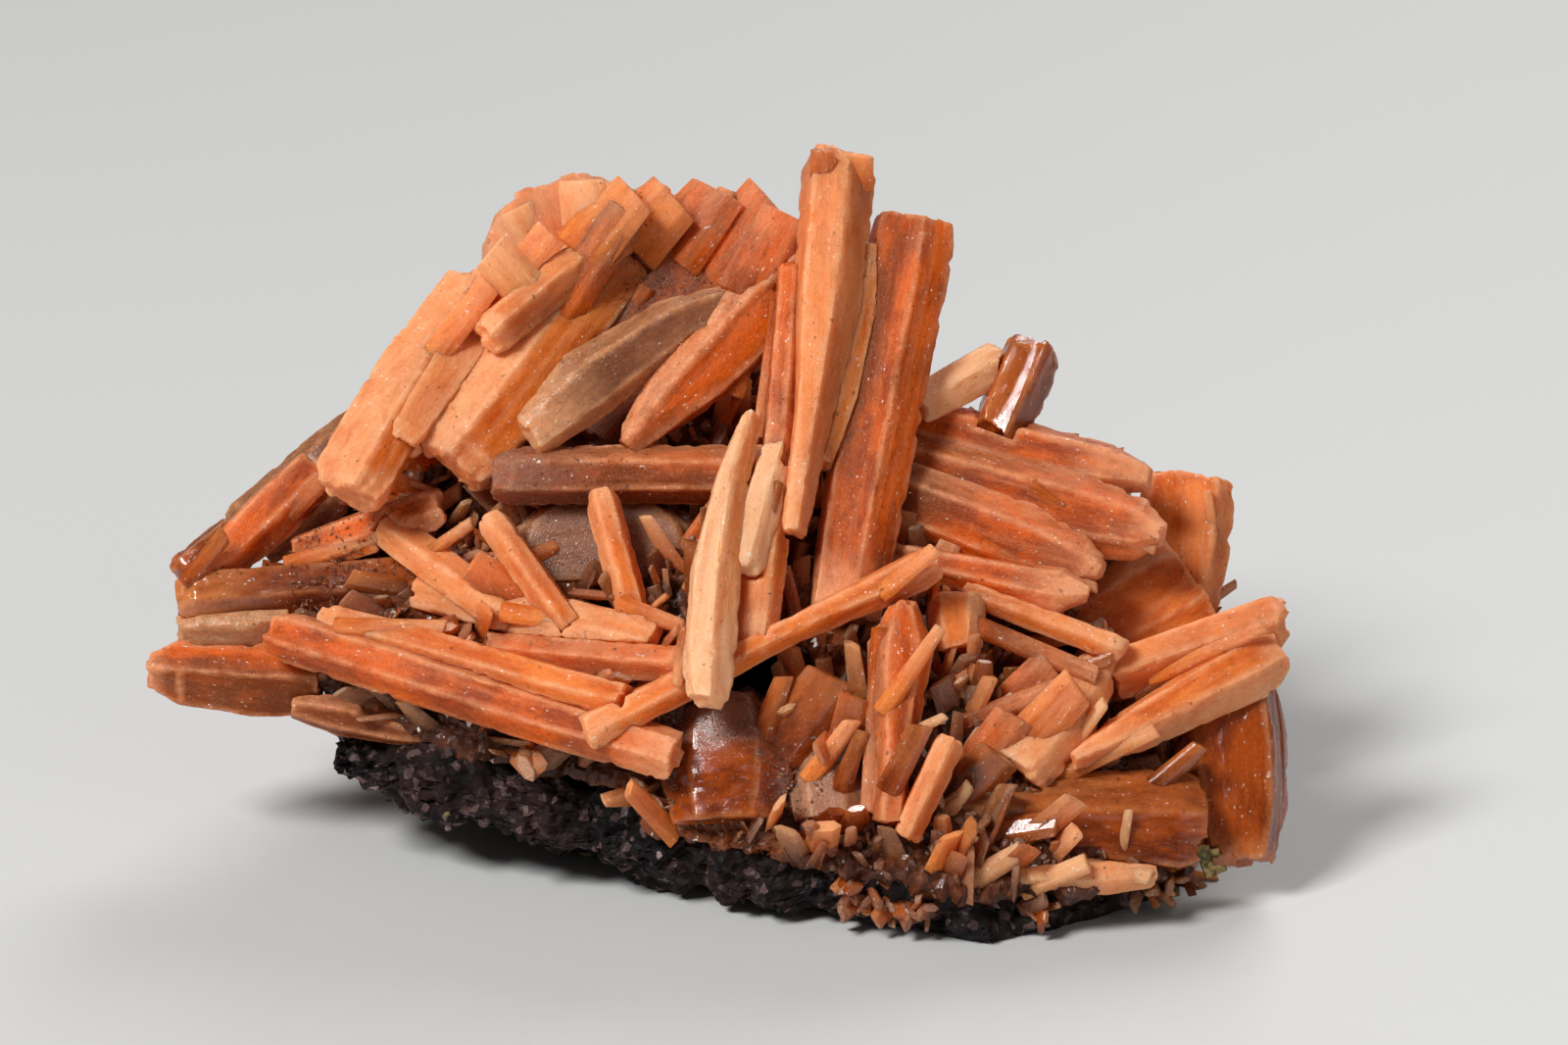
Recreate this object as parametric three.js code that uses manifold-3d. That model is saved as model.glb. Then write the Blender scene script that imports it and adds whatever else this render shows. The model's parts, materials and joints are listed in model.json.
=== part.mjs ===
// Barite on matrix: a spray of orange lath and blade crystals standing on a bed of fine
// crystals, which sits on dark granular rock cut off flat underneath.
// Millimetres, +Z up, +X to the right of the front view, +Y to the back.

import * as THREE from "three";
import { ConvexGeometry } from "three/addons/geometries/ConvexGeometry.js";
import { mergeVertices } from "three/addons/utils/BufferGeometryUtils.js";
import Module from "manifold-3d";

const wasm = await Module();
wasm.setup();

// The front view that the crystals are placed from: it looks down a little, from this far off.
const MM_PER_PIXEL = 0.0638;
const EYE_DISTANCE = 340;
const LOOK_DOWN = THREE.MathUtils.degToRad(20);
const VIEW_CENTRE = { x: 800, y: 533 };

// The level that the specimen rests on, below the middle of the view.
const GROUND = -22.4;
const GAP = 0.3;

const RIGHT = new THREE.Vector3(1, 0, 0);
const UP = new THREE.Vector3(0, Math.sin(LOOK_DOWN), Math.cos(LOOK_DOWN));
const TOWARD = new THREE.Vector3(0, -Math.cos(LOOK_DOWN), Math.sin(LOOK_DOWN));

// The place seen at x, y in the front view, `depth` mm behind the picture plane.
function seenAt([x, y, depth]) {
  const scale = (MM_PER_PIXEL * (EYE_DISTANCE + depth)) / EYE_DISTANCE;
  return new THREE.Vector3()
    .addScaledVector(RIGHT, (x - VIEW_CENTRE.x) * scale)
    .addScaledVector(UP, (VIEW_CENTRE.y - y) * scale)
    .addScaledVector(TOWARD, -depth);
}

// Colours seen on the specimen.
const FINISHES = {
  peach: { color: 0xe08a52, roughness: 0.5 },
  orange: { color: 0xd4601c, roughness: 0.45 },
  smoky: { color: 0x9a6a4c, roughness: 0.55 },
  red: { color: 0x8c2f14, roughness: 0.3 },
  pale: { color: 0xe4b08c, roughness: 0.5 },
  druse: { color: 0x8a5f50, roughness: 0.8 },
  rock: { color: 0x3a2a2c, roughness: 0.95 },
};

// Habits of the crystals, as stations from root to tip: how far along, then the share of the
// full half width on the left and on the right, and the share of the full thickness.
const LATH = [[0, 0.9, 0.9, 1], [0.5, 1, 1, 1], [0.94, 0.97, 0.97, 1], [1, 0.8, 0.8, 0.7]];
const TAPER = [[0, 0.9, 0.9, 1], [0.4, 1, 1, 1], [0.8, 0.78, 0.78, 0.9], [1, 0.35, 0.35, 0.5]];
const SPINDLE = [[0, 0.35, 0.35, 0.7], [0.3, 0.75, 0.75, 1], [0.7, 1, 1, 1], [1, 0.6, 0.6, 0.7]];
const ROUNDED = [[0, 0.8, 0.8, 1], [0.35, 1, 1, 1], [0.7, 0.9, 0.9, 1], [0.9, 0.68, 0.68, 0.8],
  [1, 0.42, 0.42, 0.5]];
const TABLET = [[0, 0.85, 0.85, 1], [0.5, 1, 1, 1], [0.93, 1, 1, 1], [1, 0.9, 0.9, 0.75]];

// Six-sided section of a crystal: two broad faces, and a sloping shoulder at each side.
function crystalSection(width, thick, shoulders, grow) {
  const side = width / 2 + grow;
  const half = thick / 2 + grow;
  const [left, right] = shoulders;
  const keel = -0.35 * half;
  return new THREE.Shape([
    new THREE.Vector2(-side, keel),
    new THREE.Vector2(-side + right * 0.6, -half),
    new THREE.Vector2(side - left * 0.6, -half),
    new THREE.Vector2(side, keel),
    new THREE.Vector2(side - left, half),
    new THREE.Vector2(-side + right, half),
  ]);
}

// A crystal along +Z from its root, its broad face towards +Y and its left side towards +X.
function crystalGeometry(crystal, length, grow = 0) {
  const { width, thick, habit = LATH, shoulders = [0.25 * width, 0.25 * width] } = crystal;
  const { chisel = 0, bow = 0 } = crystal;
  const steps = habit.length - 1;
  const section = crystalSection(width, thick, shoulders, grow);
  const geometry = new THREE.ExtrudeGeometry(section, { depth: steps, steps, bevelEnabled: false });
  const place = geometry.attributes.position;
  const tipSlope = Math.tan(THREE.MathUtils.degToRad(chisel));
  for (let i = 0; i < place.count; i += 1) {
    const [along, left, right, deep] = habit[Math.round(place.getZ(i))];
    const share = place.getX(i) > 0 ? left : right;
    const x = place.getX(i) * share;
    const y = place.getY(i) * deep;
    const bend = 4 * along * (1 - along);
    const rise = along * (length + 2 * grow) - grow + along * tipSlope * x;
    place.setXYZ(i, x + bow * bend, y, rise);
  }
  geometry.deleteAttribute("normal");
  geometry.deleteAttribute("uv");
  return mergeVertices(geometry, 1e-5);
}

// The turn and place that stand a crystal on its root, pointing at its tip.
function crystalPose(crystal) {
  const root = seenAt(crystal.root);
  const growth = seenAt(crystal.tip).sub(root);
  const length = growth.length();
  const along = growth.normalize();
  const [right, up, toward] = crystal.faces;
  const face = new THREE.Vector3()
    .addScaledVector(RIGHT, right)
    .addScaledVector(UP, up)
    .addScaledVector(TOWARD, toward);
  face.addScaledVector(along, -face.dot(along)).normalize();
  const left = new THREE.Vector3().crossVectors(face, along);
  const matrix = new THREE.Matrix4().makeBasis(left, face, along).setPosition(root);
  return { length, matrix };
}

function asSolid(geometry, matrix) {
  const placed = geometry.clone().applyMatrix4(matrix);
  return new wasm.Manifold(
    new wasm.Mesh({
      numProp: 3,
      vertProperties: new Float32Array(placed.attributes.position.array),
      triVerts: new Uint32Array(placed.index.array),
    }),
  );
}

function asGeometry(solid, matrix) {
  const { vertProperties, triVerts } = solid.getMesh();
  const geometry = new THREE.BufferGeometry();
  geometry.setAttribute("position", new THREE.BufferAttribute(vertProperties, 3));
  geometry.setIndex(new THREE.BufferAttribute(triVerts, 1));
  geometry.applyMatrix4(matrix.clone().invert());
  const faceted = geometry.toNonIndexed();
  faceted.computeVertexNormals();
  return faceted;
}

// What is left of a solid beside its neighbours: its largest piece.
function cutBy(solid, neighbours) {
  const left = neighbours.reduce((rest, other) => rest.subtract(other), solid);
  const pieces = left.decompose();
  return pieces.reduce((most, piece) => (piece.volume() > most.volume() ? piece : most));
}

const group = new THREE.Group();

function addPiece(name, solid, finish, matrix) {
  const material = new THREE.MeshStandardMaterial({ name: finish, metalness: 0, ...FINISHES[finish] });
  const mesh = new THREE.Mesh(asGeometry(solid, matrix), material);
  mesh.name = name;
  mesh.applyMatrix4(matrix);
  group.add(mesh);
}

// A lump of rock or of fine crystals: the hull around its corners, grown a little for a cutter.
function lump(corners, grow = 0) {
  const hull = new ConvexGeometry(corners);
  const middle = corners.reduce((sum, corner) => sum.add(corner), new THREE.Vector3())
    .divideScalar(corners.length);
  const place = hull.attributes.position;
  for (let i = 0; i < place.count; i += 1) {
    const corner = new THREE.Vector3().fromBufferAttribute(place, i);
    const out = corner.clone().sub(middle).normalize();
    corner.addScaledVector(out, grow);
    place.setXYZ(i, corner.x, corner.y, corner.z);
  }
  hull.deleteAttribute("normal");
  return asSolid(mergeVertices(hull, 1e-4), new THREE.Matrix4());
}

const onGround = ([x, y]) => new THREE.Vector3(x, y, GROUND);

// Dark granular rock. Its underside is cut flat, and it overhangs to the left.
const ROCK_BASE = [
  [13, -16.6], [20, -12.8], [24.8, -8.9], [26, 2], [24, 13], [14, 18], [-13, 18], [-22, 13],
  [-21, 6], [-16, 0], [-8, -6.5], [-1.3, -7.7], [3.8, -11.6], [7, -13.8],
];
const ROCK_SIDES = [
  [336, 788, 0.6], [334, 772, 0.8], [420, 820, -0.5], [520, 848, -1.5], [600, 868, -1.5], [700, 894, -1.5],
  [400, 735, 4], [470, 770, -1], [620, 835, -4], [780, 872, -5.5], [900, 900, -8], [1005, 925, -9],
  [1100, 908, -6.5], [1215, 893, -3.5], [390, 690, 16], [430, 620, 21], [620, 560, 25], [840, 570, 25],
  [1080, 640, 22], [1200, 720, 17],
];

// The bed of fine crystals that the laths stand on, in three swells.
const BED_LEFT = [
  [290, 660, 3], [290, 620, 6], [370, 510, 8], [470, 380, 10.5], [560, 300, 12.5], [680, 270, 12.5],
  [780, 330, 11], [800, 480, 5], [760, 560, 1], [600, 590, 0.5], [450, 610, 0.5], [330, 700, 1.5],
  [480, 770, -1.5], [640, 800, -4.5], [720, 700, -5.5], [620, 690, -4], [420, 540, 17], [500, 400, 17.5],
  [560, 320, 17.5], [680, 290, 18], [800, 380, 18], [860, 560, 20], [600, 560, 22], [410, 640, 19],
];
const BED_RIGHT = [
  [780, 500, 4.5], [900, 470, 6], [1000, 455, 8], [1120, 510, 9], [1200, 560, 9.5], [1225, 640, 7],
  [1215, 770, 1], [1090, 800, -3.5], [960, 760, -4.5], [860, 690, -4], [780, 620, -1], [900, 440, 14],
  [1080, 500, 15], [1200, 620, 14], [1190, 780, 10], [760, 600, 21], [1050, 600, 20], [800, 460, 16],
];
const BED_FRONT = [
  [640, 800, -4.5], [700, 750, -4.5], [800, 730, -3.5], [900, 730, -5], [980, 690, -3.5], [1060, 730, -3],
  [1200, 780, -1.5], [1228, 850, -2.5], [1218, 890, -4], [1100, 902, -8], [1000, 915, -9.3],
  [880, 885, -8.8], [760, 858, -7], [670, 845, -5.5], [760, 800, 8], [1100, 820, 7],
];

function corners(places) {
  return places.map(seenAt);
}

const rockCorners = [...ROCK_BASE.map(onGround), ...corners(ROCK_SIDES)];
const bedCorners = [BED_LEFT, BED_RIGHT, BED_FRONT].map(corners);
const bed = bedCorners.map((list) => lump(list)).reduce((whole, swell) => whole.add(swell));
const bedCutter = bedCorners.map((list) => lump(list, GAP)).reduce((whole, swell) => whole.add(swell));
const rock = cutBy(lump(rockCorners), [bedCutter]);
const rockCutter = lump(rockCorners, GAP);

// The crystals, those first that the others grew against. Each runs from `root` to `tip`, and
// `faces` says how far its broad face looks right, up and towards the viewer.
const CRYSTALS = {
  // The tall group in the middle.
  tall_prism: { finish: "peach", root: [811, 546, -4.5], tip: [857, 157, 3.5],
    faces: [-0.1, 0.1, 1], width: 4.7, thick: 3.4, shoulders: [1.1, 1.5], chisel: 6,
    habit: [[0, 0.3, 0.3, 0.6], [0.3, 0.42, 0.55, 0.8], [0.6, 0.85, 0.95, 1], [0.96, 0.95, 1, 1],
      [1, 0.8, 0.85, 0.8]] },
  tall_plate: { finish: "orange", root: [862, 628, -3.5], tip: [932, 222, 4.5],
    faces: [-0.2, 0.05, 1], width: 5.3, thick: 2.6, shoulders: [0.7, 1.7], chisel: -4, habit: TABLET },
  front_blade: { finish: "pale", root: [766, 422, -3], tip: [720, 717, -11],
    faces: [-0.15, 0.1, 1], width: 3.1, thick: 2.3, shoulders: [1.2, 0.6], bow: -0.8,
    habit: [[0, 0.35, 0.35, 0.6], [0.25, 0.65, 0.6, 0.9], [0.55, 0.95, 0.95, 1], [0.85, 1, 1, 1],
      [1, 0.75, 0.78, 0.8]] },
  prism_right_splinter: { finish: "pale", root: [842, 478, -1.5], tip: [884, 248, 3],
    faces: [0.3, 0.05, 0.95], width: 2.6, thick: 1.8, bow: -0.5, habit: SPINDLE },
  prism_left_splinter: { finish: "orange", root: [806, 270, 2], tip: [792, 476, -3],
    faces: [-0.2, 0.1, 0.95], width: 2, thick: 1.6, habit: LATH },
  glinting_lath: { finish: "pale", root: [796, 448, -2.5], tip: [757, 586, -6.5],
    faces: [-0.3, 0.1, 0.95], width: 2.3, thick: 1.8, habit: LATH },
  prism_foot_lath: { finish: "peach", root: [795, 470, -2.5], tip: [767, 664, -7],
    faces: [-0.1, 0.1, 1], width: 2.7, thick: 1.6, habit: LATH },

  // The fan of laths at the upper left.
  fan_outer_lath: { finish: "peach", root: [482, 288, 6], tip: [357, 505, -3],
    faces: [0.35, 0.05, 0.93], width: 5, thick: 3.2, shoulders: [0.8, 2.2], chisel: -8,
    habit: [[0, 0.7, 0.6, 0.8], [0.4, 0.9, 0.95, 1], [0.95, 1, 1, 1], [1, 0.85, 0.85, 0.8]] },
  fan_upper_lath: { finish: "peach", root: [668, 210, 7.5], tip: [494, 345, 0.5],
    faces: [-0.2, 0.4, 0.9], width: 2.9, thick: 2.4, shoulders: [0.7, 1], bow: -0.3, habit: LATH },
  fan_third_lath: { finish: "peach", root: [628, 262, 7.5], tip: [462, 478, -1],
    faces: [0.35, 0, 0.93], width: 6, thick: 3, shoulders: [0.8, 1.9], chisel: -6, habit: LATH },
  fan_second_lath: { finish: "peach", root: [508, 292, 6], tip: [408, 457, -1.5],
    faces: [0.1, 0.15, 0.95], width: 4.4, thick: 2.6, shoulders: [0.6, 1],
    habit: [[0, 1, 1, 1], [0.5, 0.85, 0.85, 1], [0.95, 0.62, 0.62, 1], [1, 0.5, 0.5, 0.8]] },
  fan_back_plate: { finish: "pale", root: [588, 335, 10.5], tip: [560, 188, 12],
    faces: [-0.35, 0.3, 0.9], width: 12.4, thick: 2.2, shoulders: [1.2, 1.2], habit: ROUNDED },
  fan_inner_plate: { finish: "orange", root: [580, 430, 4.5], tip: [722, 226, 9.5],
    faces: [0.1, 0, 1], width: 10.2, thick: 2.4, shoulders: [1, 1], habit: TABLET },
  fan_right_plate: { finish: "orange", root: [704, 335, 8], tip: [764, 207, 9.5],
    faces: [0.2, 0.1, 0.97], width: 5.6, thick: 2.2, shoulders: [1, 1.2], habit: TABLET },

  // The plates inside the fan.
  smoky_blade: { finish: "smoky", root: [757, 300, 3], tip: [538, 447, -1.5],
    faces: [0.05, 0.1, 1], width: 4.4, thick: 1.4, shoulders: [0.6, 1.2], bow: -1, habit: SPINDLE },
  orange_blade: { finish: "orange", root: [640, 455, 0], tip: [818, 264, 3.5],
    faces: [0.1, -0.1, 1], width: 5.6, thick: 2, shoulders: [1.8, 0.6],
    habit: [[0, 0.25, 0.25, 0.6], [0.4, 0.85, 0.85, 1], [0.75, 1, 1, 1], [1, 0.45, 0.2, 0.7]] },
  shelf_plate: { finish: "orange", root: [800, 482, 0], tip: [503, 484, -1],
    faces: [0, 0.1, 1], width: 3.6, thick: 2.6, shoulders: [0.6, 1.2], habit: LATH },
  arched_plate: { finish: "smoky", root: [618, 592, 0], tip: [618, 514, 1],
    faces: [0, 0.3, 0.95], width: 13, thick: 1.6, shoulders: [1.5, 1.5], habit: ROUNDED },
  left_needle: { finish: "peach", root: [583, 640, -4], tip: [501, 526, -2],
    faces: [0.3, 0.2, 0.93], width: 1.9, thick: 1.5, habit: LATH },
  right_needle: { finish: "peach", root: [657, 665, -4.5], tip: [613, 502, -2.5],
    faces: [0.1, 0.2, 0.95], width: 1.9, thick: 1.5, habit: LATH },

  // The laths that lie along the front left.
  long_front_lath: { finish: "peach", root: [690, 772, -9], tip: [275, 643, -0.5],
    faces: [0, 0.25, 0.95], width: 3.2, thick: 2, habit: LATH },
  front_upper_lath: { finish: "peach", root: [640, 718, -8], tip: [325, 632, 0],
    faces: [0, 0.5, 0.86], width: 2.6, thick: 2.2, habit: LATH },
  slanting_front_lath: { finish: "peach", root: [596, 747, -9], tip: [958, 572, -5.5],
    faces: [0.1, 0.45, 0.9], width: 2.4, thick: 1.6,
    habit: [[0, 0.9, 0.9, 0.8], [0.35, 0.8, 0.8, 1], [0.6, 0.6, 0.6, 1], [0.95, 1, 1, 1],
      [1, 0.8, 0.8, 0.8]] },
  flat_orange_lath: { finish: "orange", root: [500, 660, -2.5], tip: [704, 680, -7.5],
    faces: [0, 0.5, 0.86], width: 2.2, thick: 2, habit: LATH },
  flat_front_plate: { finish: "peach", root: [430, 595, 1], tip: [665, 655, -6],
    faces: [0, 0.7, 0.7], width: 3.6, thick: 1.6, habit: LATH },
  flat_left_plate: { finish: "peach", root: [395, 535, 2], tip: [530, 632, -3],
    faces: [0.2, 0.6, 0.75], width: 3, thick: 1.5, habit: LATH },

  // The left end.
  left_orange_tongue: { finish: "orange", root: [326, 476, 5.5], tip: [202, 592, 1.8],
    faces: [-0.1, 0.35, 0.93], width: 3.6, thick: 2.2, habit: TAPER },
  left_brown_plate: { finish: "smoky", root: [440, 395, 9], tip: [252, 548, 5],
    faces: [-0.3, 0.3, 0.9], width: 5.8, thick: 1.8, habit: LATH },
  left_red_end: { finish: "red", root: [282, 512, 6.5], tip: [186, 590, 4.5],
    faces: [-0.2, 0.2, 0.95], width: 3, thick: 2, habit: LATH },
  left_inner_blade: { finish: "orange", root: [300, 566, 3], tip: [452, 515, 1],
    faces: [0, 0.5, 0.85], width: 2.8, thick: 1.2, habit: LATH },
  left_broken_crystal: { finish: "red", root: [455, 590, 3], tip: [182, 612, 2],
    faces: [0, 0.45, 0.9], width: 3.9, thick: 3.4, habit: LATH },
  left_upper_lobe: { finish: "pale", root: [300, 628, 2.5], tip: [178, 640, 2],
    faces: [0, 0.4, 0.9], width: 3.4, thick: 3, habit: TAPER },
  left_tip_crystal: { finish: "smoky", root: [330, 690, 3], tip: [150, 682, 3],
    faces: [0, 0.5, 0.85], width: 5.5, thick: 4, habit: TAPER },
  underside_blade: { finish: "smoky", root: [455, 755, 0], tip: [300, 722, 1.5],
    faces: [0, -0.2, 0.97], width: 2.4, thick: 1, habit: SPINDLE },

  // The stacked plates at the right.
  red_prism: { finish: "red", root: [1018, 445, 4.5], tip: [1056, 350, 6],
    faces: [-0.2, 0.1, 0.95], width: 3.6, thick: 3, habit: LATH },
  pale_ridge_lath: { finish: "pale", root: [935, 415, 3], tip: [1025, 364, 6],
    faces: [-0.2, 0.5, 0.85], width: 2.8, thick: 2, habit: LATH },
  top_right_plate: { finish: "peach", root: [930, 432, 5.5], tip: [1176, 490, 2.5],
    faces: [0, 0.25, 0.95], width: 4, thick: 2,
    habit: [[0, 0.8, 0.8, 1], [0.4, 1, 1, 1], [0.8, 0.8, 0.8, 1], [1, 0.35, 0.35, 0.6]] },
  second_right_plate: { finish: "orange", root: [925, 480, 3.5], tip: [1190, 545, 0],
    faces: [0, 0.1, 1], width: 5.4, thick: 2,
    habit: [[0, 0.9, 0.9, 1], [0.6, 1, 1, 1], [0.9, 0.7, 0.7, 0.8], [1, 0.25, 0.25, 0.6]] },
  third_right_plate: { finish: "smoky", root: [915, 508, 1.5], tip: [1128, 582, -1.5],
    faces: [0, -0.1, 1], width: 5, thick: 1.8,
    habit: [[0, 0.9, 0.9, 1], [0.6, 1, 1, 1], [0.9, 0.6, 0.6, 0.8], [1, 0.2, 0.2, 0.6]] },
  low_right_plate: { finish: "smoky", root: [905, 568, 0], tip: [1112, 606, -3],
    faces: [0, 0.3, 0.95], width: 3, thick: 1.8,
    habit: [[0, 0.5, 0.5, 1], [0.5, 0.8, 0.8, 1], [0.85, 1, 1, 0.9], [1, 0.3, 0.3, 0.6]] },
  thin_right_lath: { finish: "peach", root: [985, 602, -2], tip: [1147, 664, -4.2],
    faces: [0.1, 0.4, 0.9], width: 1.5, thick: 1.2, habit: LATH },
  big_back_plate: { finish: "orange", root: [1190, 665, 6], tip: [1212, 484, 9],
    faces: [-0.1, -0.05, 1], width: 5.8, thick: 2, shoulders: [0.4, 1], habit: TABLET },
  low_back_plate: { finish: "smoky", root: [1010, 700, 2], tip: [1215, 590, 5],
    faces: [0, 0.4, 0.9], width: 7, thick: 1.6, habit: TABLET },

  // The right end.
  dark_end_prism: { finish: "red", root: [1264, 882, -2.2], tip: [1255, 695, 0],
    faces: [-0.1, 0.15, 1], width: 6.2, thick: 3.4, shoulders: [0.8, 0.9],
    habit: [[0, 0.6, 0.7, 0.8], [0.3, 0.9, 0.95, 1], [0.7, 1, 1, 1], [1, 0.9, 0.9, 0.9]] },
  right_long_lath: { finish: "peach", root: [1095, 776, -6], tip: [1306, 666, -1.5],
    faces: [-0.1, 0.35, 0.93], width: 3.8, thick: 2.6,
    habit: [[0, 0.25, 0.25, 0.6], [0.3, 0.7, 0.7, 0.9], [0.85, 1, 1, 1], [1, 0.8, 0.8, 0.8]] },
  right_upper_lath: { finish: "peach", root: [1130, 690, -2], tip: [1312, 628, 0],
    faces: [0, 0.5, 0.85], width: 3.4, thick: 3, habit: LATH },
  right_broad_blade: { finish: "orange", root: [1035, 785, -6], tip: [1130, 668, -3],
    faces: [-0.2, 0.2, 0.95], width: 5, thick: 2,
    habit: [[0, 0.9, 0.9, 1], [0.5, 1, 1, 1], [1, 0.4, 0.4, 0.6]] },
  glossy_crystal: { finish: "red", root: [970, 830, -6], tip: [1225, 840, -4.5],
    faces: [0, -0.05, 1], width: 6.6, thick: 4, shoulders: [2.4, 0.8],
    habit: [[0, 0.6, 0.5, 0.7], [0.4, 0.85, 0.75, 1], [0.9, 1, 1, 1], [1, 0.85, 0.85, 0.8]] },
  pale_bottom_blade: { finish: "pale", root: [1020, 897, -8.5], tip: [1178, 893, -7.5],
    faces: [0, 0.4, 0.9], width: 1.9, thick: 1.5, habit: SPINDLE },

  // The small crystals low in the middle.
  red_centre_blade: { finish: "orange", root: [905, 842, -9.5], tip: [925, 612, -6.5],
    faces: [0.1, 0.1, 1], width: 3.8, thick: 2,
    habit: [[0, 0.5, 0.5, 1], [0.3, 0.5, 0.5, 1], [0.6, 0.85, 0.85, 1], [0.8, 1, 1, 0.9],
      [1, 0.4, 0.4, 0.5]] },
  upright_front_lath: { finish: "peach", root: [922, 856, -10], tip: [968, 752, -9.5],
    faces: [-0.3, 0.2, 0.93], width: 1.8, thick: 1.5, habit: LATH },
  block_crystal: { finish: "peach", root: [980, 664, -4], tip: [978, 604, -3],
    faces: [-0.1, 0.2, 0.95], width: 3.3, thick: 2, habit: TABLET },
  druse_plate: { finish: "druse", root: [742, 835, -7.5], tip: [738, 712, -5.5],
    faces: [-0.1, 0.25, 0.96], width: 8.6, thick: 2, habit: ROUNDED },
  pale_low_plate: { finish: "pale", root: [845, 835, -8], tip: [842, 762, -6],
    faces: [-0.1, 0.25, 0.96], width: 4.6, thick: 1.4, habit: TAPER },

  // The back, which the front view hides.
  back_left_plate: { finish: "smoky", root: [590, 600, 20], tip: [480, 420, 19],
    faces: [-0.5, -0.3, -0.8], width: 7, thick: 2.2, habit: ROUNDED },
  back_middle_plate: { finish: "orange", root: [745, 560, 20], tip: [665, 285, 20.5],
    faces: [-0.4, 0, -0.9], width: 6.5, thick: 2.4, habit: TABLET },
  back_right_lath: { finish: "peach", root: [850, 560, 18], tip: [1010, 470, 17.5],
    faces: [0.2, 0.7, -0.7], width: 4.6, thick: 2.4, habit: LATH },
  back_low_blade: { finish: "orange", root: [960, 660, 19], tip: [1180, 600, 17.5],
    faces: [0.2, 0.8, -0.5], width: 5, thick: 2, habit: TAPER },
};

const made = [];
for (const [name, crystal] of Object.entries(CRYSTALS)) {
  const { length, matrix } = crystalPose(crystal);
  const whole = asSolid(crystalGeometry(crystal, length), matrix);
  const solid = cutBy(whole, [rockCutter, bedCutter, ...made]);
  made.push(asSolid(crystalGeometry(crystal, length, GAP), matrix));
  addPiece(name, solid, crystal.finish, matrix);
}

addPiece("matrix_rock", rock, "rock", new THREE.Matrix4());
addPiece("druse_bed", bed, "druse", new THREE.Matrix4());

// Stand the part on its base, with the middle of its plan at the origin.
const box = new THREE.Box3().setFromObject(group);
const middle = box.getCenter(new THREE.Vector3());
group.position.set(-middle.x, -middle.y, -box.min.z);

export default group;
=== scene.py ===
import json
import math
import random

import bmesh
import bpy
import numpy as np
from mathutils import Matrix, Vector, noise
from mathutils.bvhtree import BVHTree

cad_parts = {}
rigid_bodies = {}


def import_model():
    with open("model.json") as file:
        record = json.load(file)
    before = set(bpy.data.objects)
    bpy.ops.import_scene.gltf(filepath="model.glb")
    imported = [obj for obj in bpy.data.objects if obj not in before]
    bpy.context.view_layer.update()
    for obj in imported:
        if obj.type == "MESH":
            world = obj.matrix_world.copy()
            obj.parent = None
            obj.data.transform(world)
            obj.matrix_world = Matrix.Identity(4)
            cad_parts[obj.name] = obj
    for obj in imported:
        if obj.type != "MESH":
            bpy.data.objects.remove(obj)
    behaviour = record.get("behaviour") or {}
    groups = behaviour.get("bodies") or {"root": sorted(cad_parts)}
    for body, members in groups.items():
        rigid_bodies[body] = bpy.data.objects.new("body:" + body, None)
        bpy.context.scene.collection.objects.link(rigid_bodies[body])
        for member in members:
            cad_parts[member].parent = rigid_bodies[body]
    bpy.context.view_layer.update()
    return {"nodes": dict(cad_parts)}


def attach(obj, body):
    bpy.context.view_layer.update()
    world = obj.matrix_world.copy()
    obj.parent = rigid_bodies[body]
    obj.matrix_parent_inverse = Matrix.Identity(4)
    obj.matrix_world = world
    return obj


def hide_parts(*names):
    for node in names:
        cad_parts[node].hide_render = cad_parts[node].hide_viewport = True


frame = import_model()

MM = 0.001

# The view of the specimen: a long macro lens, a third of a metre away, looking down a little.
# The plain pale floor, the soft boxes and the camera aren't part of the specimen.
LOOK_DOWN = math.radians(20)
EYE_DISTANCE = 340 * MM
LENS = 120
SENSOR = 36
PICTURE_WIDTH = 1600
PICTURE_MIDDLE = (800, 533)
VIEW_MIDDLE = Vector((4.35, -5.10, 22.40)) * MM
RIGHT = Vector((1, 0, 0))
UP = Vector((0, math.sin(LOOK_DOWN), math.cos(LOOK_DOWN)))
TOWARD = Vector((0, -math.cos(LOOK_DOWN), math.sin(LOOK_DOWN)))
EYE = VIEW_MIDDLE + TOWARD * EYE_DISTANCE

camera_data = bpy.data.cameras.new("macro_lens")
camera_data.lens = LENS
camera_data.sensor_width = SENSOR
camera_data.clip_start = 10 * MM
camera = bpy.data.objects.new("camera", camera_data)
camera.location = EYE
camera.rotation_euler = (math.radians(90) - LOOK_DOWN, 0, 0)
bpy.context.scene.collection.objects.link(camera)
bpy.context.scene.camera = camera


def soft_box(name, place, width, power, colour=(1, 1, 1)):
    """A square area light, turned to the middle of the view."""
    data = bpy.data.lights.new(name, "AREA")
    data.size = width
    data.energy = power
    data.color = colour
    lamp = bpy.data.objects.new(name, data)
    lamp.location = place
    lamp.rotation_euler = (Vector(place) - VIEW_MIDDLE).to_track_quat("Z", "Y").to_euler()
    bpy.context.scene.collection.objects.link(lamp)


soft_box("key_box", (-0.42, -0.38, 0.62), 0.24, 7.2)
soft_box("fill_box", (0.55, -0.50, 0.40), 0.45, 0.55)
soft_box("back_box", (0.25, 0.60, 0.55), 0.40, 3.2)

world = bpy.data.worlds.new("room")
bpy.context.scene.world = world
world.use_nodes = True
sky = world.node_tree.nodes["Background"].inputs
sky["Color"].default_value = (0.84, 0.82, 0.80, 1)
sky["Strength"].default_value = 0.10
bpy.context.scene.view_settings.view_transform = "Standard"



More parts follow.
